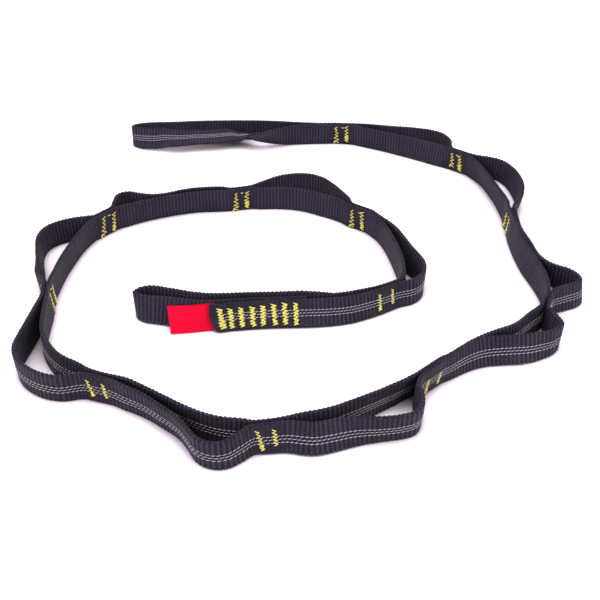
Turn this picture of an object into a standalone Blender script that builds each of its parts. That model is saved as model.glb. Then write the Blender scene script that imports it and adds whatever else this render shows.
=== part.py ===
"""Climbing daisy chain laid out in a coil: one ribbon of webbing on edge, bar-tacked into eleven pockets.

Metres, +Z up. The origin is under the middle of the coil, on the surface that the webbing's edges stand on.
"""
import math

import bmesh
import bpy
from mathutils import Vector
from mathutils.geometry import interpolate_bezier

# Webbing
coil_span = 0.320
webbing_width = 0.016
webbing_thickness = 0.0022

# Stitching
tack_spacing = 0.0075
tack_height = 0.0120
tack_width = 0.0024
tack_tooth = 0.0003
thread_thickness = 0.0005
stitch_web = 0.0006
jump_width = 0.0006
jump_place_share = 0.30
block_length = 0.0120
splice_tack_spacing = 0.0060
splice_hem = 0.0036

# Label
label_length = 0.0240
label_thickness = 0.0005
label_tab_length = 0.0044
label_height = 0.0150

# Clearances
sewn_gap = 0.0003
end_gap = 0.0003
neck_lift = 0.0003
slot_overrun = 0.0008

# Fineness of the bends
sample_step = 0.0006
longest_facet = 0.0110
facet_turn = math.radians(11.0)

layer_pitch = webbing_thickness + sewn_gap
tooth_count = 7
splice_tack_count = 8

# Colour and roughness
webbing_look = ((0.047, 0.041, 0.060), 0.85)
thread_look = ((0.80, 0.66, 0.05), 0.60)
label_look = ((0.80, 0.015, 0.035), 0.70)

# Middle of each pair of bar tacks, as shares of the span, and the ribbon's heading there in degrees
pair_shares = [
    (0.153, -0.166, 32), (0.120, 0.119, 143), (-0.125, 0.201, 194), (-0.392, 0.098, 232),
    (-0.444, -0.163, 279), (-0.308, -0.406, 339), (-0.045, -0.514, 6), (0.203, -0.380, 42),
    (0.428, -0.203, 66), (0.423, 0.105, 90), (0.361, 0.381, 140), (0.100, 0.530, 174),
]

# Middle line of the inner strand between one pair and the next, as shares of the span
spine_shares = [
    [(0.180, -0.145), (0.188, -0.125), (0.188, -0.094), (0.183, -0.041), (0.173, 0.013), (0.159, 0.062),
     (0.142, 0.092)],
    [(0.087, 0.147), (0.044, 0.173), (0.000, 0.194), (-0.044, 0.202), (-0.084, 0.201)],
    [(-0.166, 0.189), (-0.212, 0.184), (-0.259, 0.171), (-0.312, 0.151), (-0.353, 0.128)],
    [(-0.411, 0.066), (-0.424, 0.025), (-0.434, -0.025), (-0.442, -0.075), (-0.444, -0.122)],
    [(-0.434, -0.206), (-0.431, -0.250), (-0.425, -0.287), (-0.409, -0.323), (-0.381, -0.359),
     (-0.344, -0.384)],
    [(-0.263, -0.420), (-0.209, -0.453), (-0.163, -0.482), (-0.119, -0.502), (-0.081, -0.509)],
    [(0.000, -0.503), (0.044, -0.486), (0.087, -0.460), (0.131, -0.431), (0.169, -0.404)],
    [(0.237, -0.350), (0.275, -0.322), (0.312, -0.299), (0.350, -0.279), (0.381, -0.254)],
    [(0.437, -0.166), (0.438, -0.138), (0.433, -0.094), (0.426, -0.047), (0.422, 0.003), (0.420, 0.050)],
    [(0.423, 0.150), (0.421, 0.206), (0.413, 0.256), (0.405, 0.300), (0.392, 0.334)],
    [(0.312, 0.412), (0.263, 0.448), (0.212, 0.480), (0.163, 0.505)],
]

# Middle line of the outer strand, which bows away from the inner one as a pocket, as shares of the span
pocket_shares = [
    [(0.197, -0.149), (0.211, -0.138), (0.220, -0.122), (0.224, -0.103), (0.222, -0.078),
     (0.211, -0.041), (0.197, 0.000), (0.180, 0.045), (0.156, 0.084)],
    [(0.098, 0.159), (0.083, 0.191), (0.067, 0.222), (0.047, 0.248), (0.023, 0.263), (-0.002, 0.266),
     (-0.028, 0.261), (-0.053, 0.248), (-0.080, 0.227)],
    [(-0.166, 0.204), (-0.209, 0.200), (-0.244, 0.191), (-0.275, 0.178), (-0.306, 0.172),
     (-0.334, 0.176), (-0.355, 0.183), (-0.370, 0.179), (-0.379, 0.166), (-0.380, 0.144)],
    [(-0.421, 0.080), (-0.447, 0.073), (-0.473, 0.061), (-0.491, 0.045), (-0.499, 0.023),
     (-0.498, -0.003), (-0.491, -0.037), (-0.481, -0.078), (-0.471, -0.122)],
    [(-0.448, -0.231), (-0.452, -0.269), (-0.454, -0.303), (-0.453, -0.334), (-0.444, -0.361),
     (-0.427, -0.383), (-0.402, -0.399), (-0.372, -0.406)],
    [(-0.264, -0.433), (-0.236, -0.449), (-0.208, -0.470), (-0.175, -0.495), (-0.159, -0.517),
     (-0.144, -0.540), (-0.123, -0.552), (-0.103, -0.550), (-0.087, -0.538)],
    [(0.019, -0.522), (0.050, -0.516), (0.084, -0.506), (0.119, -0.500), (0.147, -0.495),
     (0.167, -0.487), (0.178, -0.470), (0.180, -0.448), (0.178, -0.425)],
    [(0.241, -0.357), (0.275, -0.334), (0.303, -0.322), (0.338, -0.316), (0.372, -0.312),
     (0.397, -0.305), (0.416, -0.292), (0.426, -0.273), (0.428, -0.247)],
    [(0.469, -0.170), (0.487, -0.159), (0.498, -0.144), (0.496, -0.125), (0.483, -0.109),
     (0.464, -0.098), (0.448, -0.081), (0.438, -0.056), (0.434, -0.019), (0.429, 0.025)],
    [(0.446, 0.161), (0.459, 0.188), (0.468, 0.216), (0.470, 0.247), (0.467, 0.280), (0.458, 0.311),
     (0.444, 0.334), (0.422, 0.349), (0.398, 0.358)],
    [(0.345, 0.416), (0.347, 0.434), (0.344, 0.455), (0.333, 0.478), (0.311, 0.495), (0.275, 0.507),
     (0.225, 0.517), (0.172, 0.526)],
]

# Inner eye: where its two strands leave the neck, the seam of the splice, its loose strands and its nose
eye_root_share = (0.120, -0.185, 24)
seam_shares = [(0.086, -0.200), (0.052, -0.208), (0.013, -0.212), (-0.031, -0.213), (-0.094, -0.214)]
seam_end_share = (-0.149, -0.218, 5)
second_layer_end_share = 0.013
back_strand_meets_share = 0.062
eye_front_shares = [(-0.188, -0.213), (-0.225, -0.206), (-0.263, -0.199), (-0.283, -0.195)]
eye_nose_share = (-0.293, -0.185, 90)
eye_back_shares = [
    (-0.283, -0.175), (-0.263, -0.174), (-0.244, -0.178), (-0.219, -0.185), (-0.191, -0.193),
    (-0.156, -0.198), (-0.094, -0.199), (-0.031, -0.198), (0.000, -0.197), (0.030, -0.200),
]

# Outer end loop: its root, front strand, nose and back strand, and where the front strand turns over
outer_root_share = (0.060, 0.531, 177)
outer_front_shares = [
    (0.000, 0.527), (-0.047, 0.527), (-0.097, 0.522), (-0.147, 0.514), (-0.194, 0.506), (-0.241, 0.499),
    (-0.287, 0.494), (-0.334, 0.492), (-0.362, 0.495), (-0.388, 0.504),
]
outer_nose_share = (-0.403, 0.518, 90)
outer_back_shares = [
    (-0.391, 0.533), (-0.362, 0.541), (-0.303, 0.544), (-0.266, 0.548), (-0.194, 0.552),
    (-0.147, 0.553), (-0.097, 0.552), (-0.047, 0.548), (0.000, 0.541),
]
turn_over_shares = (-0.297, 0.000)

# Label: how far its free end stands off the splice, as a share of its length
label_stand_off_share = 0.10


for stale in list(bpy.data.objects):
    bpy.data.objects.remove(stale)


def heading_vector(degrees):
    angle = math.radians(degrees)
    return Vector((math.cos(angle), math.sin(angle)))


def outward_of(along):
    """The side that faces away from the coil's middle: a quarter turn clockwise from the way along."""
    return Vector((along.y, -along.x))


def spot(share):
    return Vector((share[0], share[1])) * coil_span


def station(share, side=0.0, ahead=0.0):
    """A point beside a tabled place: side of its middle line, and ahead along its heading."""
    along = heading_vector(share[2])
    return spot(share) + outward_of(along) * side + along * ahead


def curve_through(points, first_along, last_along):
    """A smooth line through the points, with its direction given at both ends, in short steps."""
    alongs = [first_along]
    for before, after in zip(points, points[2:]):
        alongs.append((after - before).normalized())
    alongs.append(last_along)
    line = [points[0]]
    for start, end, leave, arrive in zip(points, points[1:], alongs, alongs[1:]):
        reach = (end - start).length
        steps = max(2, math.ceil(reach / sample_step))
        handle = start + leave * reach / 3
        far_handle = end - arrive * reach / 3
        line += [step.xy for step in interpolate_bezier(start, handle, far_handle, end, steps + 1)[1:]]
    return line


def directions(line):
    """The way along at each point of a line."""
    ends = [line[0]] + line[:-1]
    nexts = line[1:] + [line[-1]]
    return [(after - before).normalized() for before, after in zip(ends, nexts)]


def beside(line, side):
    """The line moved to its outward side. side is one distance, or a function of how far along it is."""
    run = 0.0
    moved = []
    for index, (point, along) in enumerate(zip(line, directions(line))):
        if index:
            run += (point - line[index - 1]).length
        distance = side(run) if callable(side) else side
        moved.append(point + outward_of(along) * distance)
    return moved


def facets(line, rolls):
    """The indices kept from a fine line: the ends of straight stretches, and one after each small turn."""
    alongs = directions(line)
    kept = [0]
    for index in range(1, len(line) - 1):
        last = kept[-1]
        turned = abs(alongs[last].angle(alongs[index + 1])) + abs(rolls[index + 1] - rolls[last])
        gone = (line[index] - line[last]).length
        step = max((line[index] - line[index - 1]).length, (line[index + 1] - line[index]).length)
        if turned > facet_turn or gone > longest_facet or step > 2 * sample_step:
            kept.append(index)
    kept.append(len(line) - 1)
    return kept


def look_material(name, look):
    material = bpy.data.materials.new(name)
    material.use_nodes = True
    shader = material.node_tree.nodes["Principled BSDF"]
    shader.inputs["Base Color"].default_value = (*look[0], 1.0)
    shader.inputs["Roughness"].default_value = look[1]
    shader.inputs["Metallic"].default_value = 0.0
    return material


def new_object(name, mesh, material=None):
    bmesh.ops.recalc_face_normals(mesh, faces=mesh.faces)
    data = bpy.data.meshes.new(name)
    mesh.to_mesh(data)
    mesh.free()
    made = bpy.data.objects.new(name, data)
    bpy.context.collection.objects.link(made)
    if material:
        data.materials.append(material)
    return made


def ribbon(name, line, material, thickness=webbing_thickness, low=0.0, high=webbing_width, rolls=None):
    """A closed strip on edge along a line. A roll turns it about its own middle height."""
    rolls = rolls or [0.0] * len(line)
    alongs = directions(line)
    half_height = (high - low) / 2
    mesh = bmesh.new()
    ring_before = None
    for index in facets(line, rolls):
        point = Vector((*line[index], 0.0))
        flat_side = Vector((*outward_of(alongs[index]), 0.0))
        turn = rolls[index]
        side = flat_side * math.cos(turn) + Vector((0, 0, math.sin(turn)))
        rise = Vector((0, 0, math.cos(turn))) - flat_side * math.sin(turn)
        reach = half_height * abs(math.cos(turn)) + thickness / 2 * abs(math.sin(turn))
        point.z = low + max(half_height, reach)
        corners = [
            point + side * (thickness / 2 * out) + rise * (half_height * up)
            for out, up in ((1, -1), (1, 1), (-1, 1), (-1, -1))
        ]
        ring = [mesh.verts.new(corner) for corner in corners]
        if ring_before:
            for turn_index in range(4):
                follow = (turn_index + 1) % 4
                mesh.faces.new((ring_before[turn_index], ring_before[follow], ring[follow], ring[turn_index]))
        else:
            mesh.faces.new(ring)
        ring_before = ring
    mesh.faces.new(ring_before[::-1])
    return new_object(name, mesh, material)


def prism(mesh, outline, extrude):
    """Adds a closed block to a mesh: the outline, and its copy moved by the extrude vector."""
    low = [mesh.verts.new(corner) for corner in outline]
    high = [mesh.verts.new(corner + extrude) for corner in outline]
    mesh.faces.new(low[::-1])
    mesh.faces.new(high)
    for index in range(len(outline)):
        follow = (index + 1) % len(outline)
        mesh.faces.new((low[index], low[follow], high[follow], high[index]))


def helper(made):
    made.hide_render = True
    made.display_type = "WIRE"
    return made


def add_boolean(made, operation, other):
    modifier = made.modifiers.new(operation.title(), "BOOLEAN")
    modifier.operation = operation
    modifier.solver = "EXACT"
    modifier.object = helper(other)


def cut_slots(made, places, stack):
    """Cuts an upright slot for the stitches of each bar tack. A place is its middle and the way along."""
    mesh = bmesh.new()
    half_long = stitch_web / 2 + sewn_gap
    half_deep = stack / 2 + slot_overrun
    low = webbing_width / 2 - tack_height / 2 - sewn_gap
    for middle, along in places:
        outward = outward_of(along)
        outline = [
            middle + along * half_long * ahead + outward * half_deep * out
            for ahead, out in ((1, 1), (-1, 1), (-1, -1), (1, -1))
        ]
        prism(mesh, [Vector((*corner, low)) for corner in outline], Vector((0, 0, tack_height + 2 * sewn_gap)))
    add_boolean(made, "DIFFERENCE", new_object(made.name + "_slots", mesh))


def zigzag(middle, side, from_height, to_height):
    """One edge of a tack, from one height to another: the edge swings by a tooth at each half stitch."""
    low = webbing_width / 2 - tack_height / 2
    half_stitch = tack_height / (2 * tooth_count)
    first, last = (from_height - low) / half_stitch, (to_height - low) / half_stitch
    step = 1 if last > first else -1
    heights = [first]
    count = math.floor(first) + 1 if step > 0 else math.ceil(first) - 1
    while (last - count) * step > 0:
        heights.append(count)
        count += step
    heights.append(last)
    edge = []
    for share in heights:
        swing = 1 - 2 * abs(share % 2 - 1)
        edge.append((middle + side * tack_width / 2 + swing * tack_tooth, low + share * half_stitch))
    return edge


def bar_tacks(name, middles, stack, material):
    """Bar tacks beside each other on the x axis, with the sewn layers on the plane y = 0.

    Each is a zigzag bar on the outer face (-y), a plain one on the inner face and the stitches that join
    them through the layers. Where there are two, the thread that jumps from one to the other joins the bars.
    """
    face = stack / 2 + sewn_gap
    low = webbing_width / 2 - tack_height / 2
    high = low + tack_height
    jump_low = low + tack_height * jump_place_share
    jump_high = jump_low + jump_width
    first, last = middles[0], middles[-1]
    if len(middles) == 2:
        outline = zigzag(first, -1, low, high) + zigzag(first, 1, high, jump_high)
        outline += zigzag(last, -1, jump_high, high) + zigzag(last, 1, high, low)
        outline += zigzag(last, -1, low, jump_low) + zigzag(first, 1, jump_low, low)
    else:
        outline = zigzag(first, -1, low, high) + zigzag(first, 1, high, low)
    mesh = bmesh.new()
    corners = [Vector((across, -face - thread_thickness, height)) for across, height in outline]
    prism(mesh, corners, Vector((0, thread_thickness, 0)))
    made = new_object(name, mesh, material)
    stitches = bmesh.new()
    for middle in middles:
        plan = [
            (-stitch_web / 2, -face - thread_thickness / 2), (stitch_web / 2, -face - thread_thickness / 2),
            (stitch_web / 2, face), (tack_width / 2, face), (tack_width / 2, face + thread_thickness),
            (-tack_width / 2, face + thread_thickness), (-tack_width / 2, face), (-stitch_web / 2, face),
        ]
        corners = [Vector((middle + across, depth, low)) for across, depth in plan]
        prism(stitches, corners, Vector((0, 0, tack_height)))
    joined = new_object(name + "_stitches", stitches)
    add_boolean(made, "UNION", joined)
    return made, joined


def place_at(made, point, along):
    for item in made:
        item.location = (point.x, point.y, 0.0)
        item.rotation_euler = (0.0, 0.0, math.atan2(along.y, along.x))


def joint_axis(name, point):
    """An empty on a joint's upright axis, which carries the pieces that turn about it."""
    axis = bpy.data.objects.new(name, None)
    axis.empty_display_size = webbing_width
    axis.location = (point.x, point.y, 0.0)
    bpy.context.collection.objects.link(axis)
    return axis


def carry(axis, pieces):
    for piece in pieces:
        piece.parent = axis
        piece.location -= axis.location


webbing = look_material("webbing", webbing_look)
thread = look_material("thread", thread_look)
woven_label = look_material("label", label_look)
stack = 2 * webbing_thickness + sewn_gap
half_block = block_length / 2
half_pitch = layer_pitch / 2


# Coil: an inner and an outer strand between each pair of tacks and the next
def strand_line(index, shares, side):
    first, last = pair_shares[index], pair_shares[index + 1]
    start_ahead = end_gap / 2 if index else -half_block
    end_ahead = -end_gap / 2 if index < len(spine_shares) - 1 else half_block
    points = [station(first, side, half_block)]
    points += [spot(share) for share in shares]
    points.append(station(last, side, -half_block))
    curve = curve_through(points, heading_vector(first[2]), heading_vector(last[2]))
    return [station(first, side, start_ahead)] + curve + [station(last, side, end_ahead)]


def strand_tacks(index):
    """The places of the tacks that go through one length of strand."""
    first, last = pair_shares[index], pair_shares[index + 1]
    places = [(first, tack_spacing / 2), (last, -tack_spacing / 2)]
    if index == 0:
        places.append((first, -tack_spacing / 2))
    if index == len(spine_shares) - 1:
        places.append((last, tack_spacing / 2))
    return [(station(share, 0.0, ahead), heading_vector(share[2])) for share, ahead in places]


for index, (spine, pocket) in enumerate(zip(spine_shares, pocket_shares)):
    for kind, shares, side in (("spine", spine, -half_pitch), ("pocket", pocket, half_pitch)):
        strand = ribbon(f"{kind}_strand_{index + 1:02d}", strand_line(index, shares, side), webbing)
        cut_slots(strand, strand_tacks(index), stack)

for index, share in enumerate(pair_shares):
    pair = bar_tacks(
        f"bar_tack_pair_{index + 1:02d}", [-tack_spacing / 2, tack_spacing / 2], stack, thread
    )
    place_at(pair, spot(share), heading_vector(share[2]))


# Necks: the short free lengths beside the first and the last pair, where the end loops fold
def neck_line(block_share, block_ahead, root_share, root_ahead, side):
    start = station(root_share, side, root_ahead)
    end = station(block_share, side, block_ahead)
    return curve_through([start, end], (end - start).normalized(), (end - start).normalized())


for kind, side in (("inner", -half_pitch), ("outer", half_pitch)):
    line = neck_line(pair_shares[0], -half_block - end_gap, eye_root_share, end_gap, side)
    ribbon(f"eye_neck_{kind}", line, webbing, low=neck_lift)
    line = neck_line(pair_shares[-1], half_block + end_gap, outer_root_share, -end_gap, side)
    ribbon(f"end_loop_neck_{kind}", line, webbing, low=neck_lift)

eye_fold = (station(pair_shares[0], 0.0, -half_block) + spot(eye_root_share)) / 2
end_loop_fold = (station(pair_shares[-1], 0.0, half_block) + spot(outer_root_share)) / 2


# Inner eye: the front layer and the second layer are lapped and sewn, and the second runs on round the nose
def seam_opening(run):
    """How far the front layer stands off to leave room for the label's tab."""
    closed = splice_hem + splice_tack_spacing - tack_width / 2 - sewn_gap
    fade = min(max((run - label_tab_length) / (closed - label_tab_length), 0.0), 1.0)
    eased = 1 - fade * fade * (3 - 2 * fade)
    return (label_thickness + sewn_gap) * eased


seam_along = heading_vector(seam_end_share[2])
root_along = heading_vector(eye_root_share[2])
seam_points = [spot(seam_end_share)] + [spot(share) for share in reversed(seam_shares)]
seam_points.append(spot(eye_root_share))
seam = curve_through(seam_points, seam_along, root_along)

splice_front = ribbon(
    "splice_front_layer", beside(seam, lambda run: half_pitch + seam_opening(run)), webbing
)

lapped = [point for point in beside(seam, -half_pitch) if point.x < second_layer_end_share * coil_span]
nose_along = heading_vector(eye_nose_share[2])
eye_front_points = [lapped[0]] + [spot(share) for share in eye_front_shares]
eye_front_points.append(station(eye_nose_share, ahead=-end_gap))
eye_front = lapped[:0:-1] + curve_through(eye_front_points, -seam_along, nose_along)
second_layer = ribbon("eye_second_layer", eye_front, webbing)

behind_front = [point for point in beside(seam, -half_pitch) if point.x > back_strand_meets_share * coil_span]
eye_back_points = [station(eye_nose_share, ahead=end_gap)] + [spot(share) for share in eye_back_shares]
eye_back_points.append(behind_front[0])
meet_along = (behind_front[1] - behind_front[0]).normalized()
eye_back = curve_through(eye_back_points, nose_along, meet_along) + behind_front[1:]
eye_back_strand = ribbon("eye_back_strand", eye_back, webbing)

# Label: a tab held in the seam, and the free flap
seam_outward = outward_of(seam_along)
tab_middle = (label_thickness + sewn_gap) / 2
tab_line = [seam[0] + seam_outward * tab_middle, seam[0] + seam_outward * tab_middle + seam_along * label_tab_length]
label_low = (webbing_width - label_height) / 2
label_high = label_low + label_height
label_tab = ribbon("label_tab", tab_line, woven_label, label_thickness, label_low, label_high)

label_hinge = tab_line[0] - seam_along * end_gap
label_end = label_hinge - seam_along * label_length + seam_outward * label_length * label_stand_off_share
label_line = curve_through([label_hinge, label_end], -seam_along, (label_end - label_hinge).normalized())
label_flap = ribbon("label", label_line, woven_label, label_thickness, label_low, label_high)

# Bar tacks of the splice
arm_pieces = [splice_front, second_layer, eye_back_strand, label_tab]
splice_places = []
run = 0.0
for before, point in zip(seam, seam[1:]):
    wanted = splice_hem + len(splice_places) * splice_tack_spacing
    run += (point - before).length
    if run >= wanted and len(splice_places) < splice_tack_count:
        splice_places.append((point, (point - before).normalized()))

for index, (point, along) in enumerate(splice_places):
    extra = label_thickness + sewn_gap if index == 0 else 0.0
    tack = bar_tacks(f"splice_tack_{index + 1}", [0.0], stack + extra, thread)
    place_at(tack, point + outward_of(along) * extra / 2, along)
    arm_pieces += tack

cut_slots(splice_front, splice_places, stack + 2 * slot_overrun)
cut_slots(second_layer, splice_places, stack)
cut_slots(label_tab, splice_places[:1], stack)


# Outer end loop: its front strand turns over once on its way to the nose
def turn_over(point):
    first, last = (share * coil_span for share in turn_over_shares)
    gone = min(max((last - point.x) / (last - first), 0.0), 1.0)
    return math.pi * gone * gone * (3 - 2 * gone)


outer_along = heading_vector(outer_root_share[2])
nose_along = heading_vector(outer_nose_share[2])
front_points = [station(outer_root_share, -half_pitch)] + [spot(share) for share in outer_front_shares]
front_points.append(station(outer_nose_share, ahead=-end_gap))
front_line = curve_through(front_points, outer_along, nose_along)
end_loop_front = ribbon("end_loop_front", front_line, webbing, rolls=[turn_over(point) for point in front_line])

back_points = [station(outer_nose_share, ahead=end_gap)] + [spot(share) for share in outer_back_shares]
back_points.append(station(outer_root_share, half_pitch))
end_loop_back = ribbon("end_loop_back", curve_through(back_points, nose_along, -outer_along), webbing)

# Joints
eye_axis = joint_axis("eye_fold_axis", eye_fold)
label_axis = joint_axis("label_axis", label_hinge)
end_loop_axis = joint_axis("end_loop_fold_axis", end_loop_fold)
carry(label_axis, [label_flap])
carry(eye_axis, arm_pieces + [label_axis])
carry(end_loop_axis, [end_loop_front, end_loop_back])
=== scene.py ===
import math

import bpy
import numpy as np
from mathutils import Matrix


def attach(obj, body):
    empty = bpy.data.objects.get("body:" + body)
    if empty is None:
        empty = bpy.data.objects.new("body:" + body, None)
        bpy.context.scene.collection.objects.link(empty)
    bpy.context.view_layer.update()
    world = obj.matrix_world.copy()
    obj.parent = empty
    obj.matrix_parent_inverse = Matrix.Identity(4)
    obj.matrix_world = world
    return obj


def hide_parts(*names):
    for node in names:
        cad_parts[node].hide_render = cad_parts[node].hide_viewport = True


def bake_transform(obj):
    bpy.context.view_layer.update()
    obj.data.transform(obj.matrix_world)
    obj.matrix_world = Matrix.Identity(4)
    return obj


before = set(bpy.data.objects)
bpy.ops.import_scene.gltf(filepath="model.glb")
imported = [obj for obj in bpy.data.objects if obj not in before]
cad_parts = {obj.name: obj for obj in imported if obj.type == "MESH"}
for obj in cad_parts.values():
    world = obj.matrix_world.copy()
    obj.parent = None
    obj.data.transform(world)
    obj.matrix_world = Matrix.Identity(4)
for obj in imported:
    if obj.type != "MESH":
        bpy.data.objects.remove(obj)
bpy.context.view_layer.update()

mm = 0.001

# the way the webbing lies, in thousandths of the coil's span; a third number is a heading in degrees
coil = {
    "span": 0.320,
    "curveSteps": 40,  # points on each piece of a curve
    "step": 0.25 * mm,  # between the points of a laid-out run
    "layerPitch": 2.5 * mm,  # middle of one sewn layer to the middle of the next
    "block": 12.0 * mm,  # straight stretch at each pair of tacks
    "pairs": [(153, -166, 32), (120, 119, 143), (-125, 201, 194), (-392, 98, 232), (-444, -163, 279),
              (-308, -406, 339), (-45, -514, 6), (203, -380, 42), (428, -203, 66), (423, 105, 90),
              (361, 381, 140), (100, 530, 174)],
    "spine": [
        [(180, -145), (188, -125), (188, -94), (183, -41), (173, 13), (159, 62), (142, 92)],
        [(87, 147), (44, 173), (0, 194), (-44, 202), (-84, 201)],
        [(-166, 189), (-212, 184), (-259, 171), (-312, 151), (-353, 128)],
        [(-411, 66), (-424, 25), (-434, -25), (-442, -75), (-444, -122)],
        [(-434, -206), (-431, -250), (-425, -287), (-409, -323), (-381, -359), (-344, -384)],
        [(-263, -420), (-209, -453), (-163, -482), (-119, -502), (-81, -509)],
        [(0, -503), (44, -486), (87, -460), (131, -431), (169, -404)],
        [(237, -350), (275, -322), (312, -299), (350, -279), (381, -254)],
        [(437, -166), (438, -138), (433, -94), (426, -47), (422, 3), (420, 50)],
        [(423, 150), (421, 206), (413, 256), (405, 300), (392, 334)],
        [(312, 412), (263, 448), (212, 480), (163, 505)],
    ],
    "pocket": [
        [(197, -149), (211, -138), (220, -122), (224, -103), (222, -78), (211, -41), (197, 0), (180, 45),
         (156, 84)],
        [(98, 159), (83, 191), (67, 222), (47, 248), (23, 263), (-2, 266), (-28, 261), (-53, 248),
         (-80, 227)],
        [(-166, 204), (-209, 200), (-244, 191), (-275, 178), (-306, 172), (-334, 176), (-355, 183),
         (-370, 179), (-379, 166), (-380, 144)],
        [(-421, 80), (-447, 73), (-473, 61), (-491, 45), (-499, 23), (-498, -3), (-491, -37), (-481, -78),
         (-471, -122)],
        [(-448, -231), (-452, -269), (-454, -303), (-453, -334), (-444, -361), (-427, -383), (-402, -399),
         (-372, -406)],
        [(-264, -433), (-236, -449), (-208, -470), (-175, -495), (-159, -517), (-144, -540), (-123, -552),
         (-103, -550), (-87, -538)],
        [(19, -522), (50, -516), (84, -506), (119, -500), (147, -495), (167, -487), (178, -470),
         (180, -448), (178, -425)],
        [(241, -357), (275, -334), (303, -322), (338, -316), (372, -312), (395, -305), (418, -294),
         (433, -276), (427, -248)],
        [(469, -170), (489, -160), (501, -145), (497, -126), (483, -109), (464, -98), (448, -81),
         (438, -56), (434, -19), (429, 25)],
        [(446, 161), (459, 188), (468, 216), (470, 247), (467, 280), (458, 311), (444, 334), (422, 349),
         (398, 358)],
        [(345, 416), (347, 434), (344, 455), (333, 478), (311, 495), (275, 507), (225, 517), (172, 526)],
    ],
    "eyeRoot": (120, -185, 24),
    "seam": [(86, -200), (52, -208), (13, -212), (-31, -213), (-94, -214)],
    "seamEnd": (-149, -218, 5),
    # how far right the second layer ends, and where the eye's back strand meets the seam
    "secondLayerEnd": 13,
    "backMeets": 62,
    "eyeFront": [(-188, -213), (-225, -206), (-263, -199), (-283, -195)],
    "eyeNose": (-293, -185, 90),
    "eyeBack": [(-283, -175), (-263, -174), (-244, -178), (-219, -185), (-191, -193), (-156, -198),
                (-94, -199), (-31, -198), (0, -197), (30, -200)],
    "loopRoot": (60, 531, 177),
    "loopFront": [(0, 527), (-47, 527), (-97, 522), (-147, 514), (-194, 506), (-241, 499), (-287, 494),
                  (-334, 492), (-362, 495), (-388, 504)],
    "loopNose": (-403, 518, 90),
    "loopBack": [(-391, 533), (-362, 541), (-303, 544), (-266, 548), (-194, 552), (-147, 553), (-97, 552),
                 (-47, 548), (0, 541)],
    # the half twist of the loop's front strand: (how far left, in mm; degrees turned over)
    "turnOver": [
        (-129, 180), (-126, 172), (-116, 160), (-108, 153), (-100, 121), (-87, 108), (-75, 104), (-57, 104),
        (-53, 100), (-49, 93), (-44, 83), (-38, 54), (-32, 45), (-27, 36), (-19, 22), (-10, 9), (0, 0),
    ],
    "turnLift": 6.0 * mm,  # how far the strand is held off the floor where it lies flat
    # how many steps on each side the running means take in: of the line, of the leans and of the turn
    "lineReach": 3,
    "leanReach": 16,
    "turnReach": 12,
    # the label's tab: its length, how far it holds the front layer off, and over which length that ends
    "tab": 4.4 * mm,
    "tabRoom": 0.8 * mm,
    "tabEase": 3.7 * mm,
}

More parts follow.
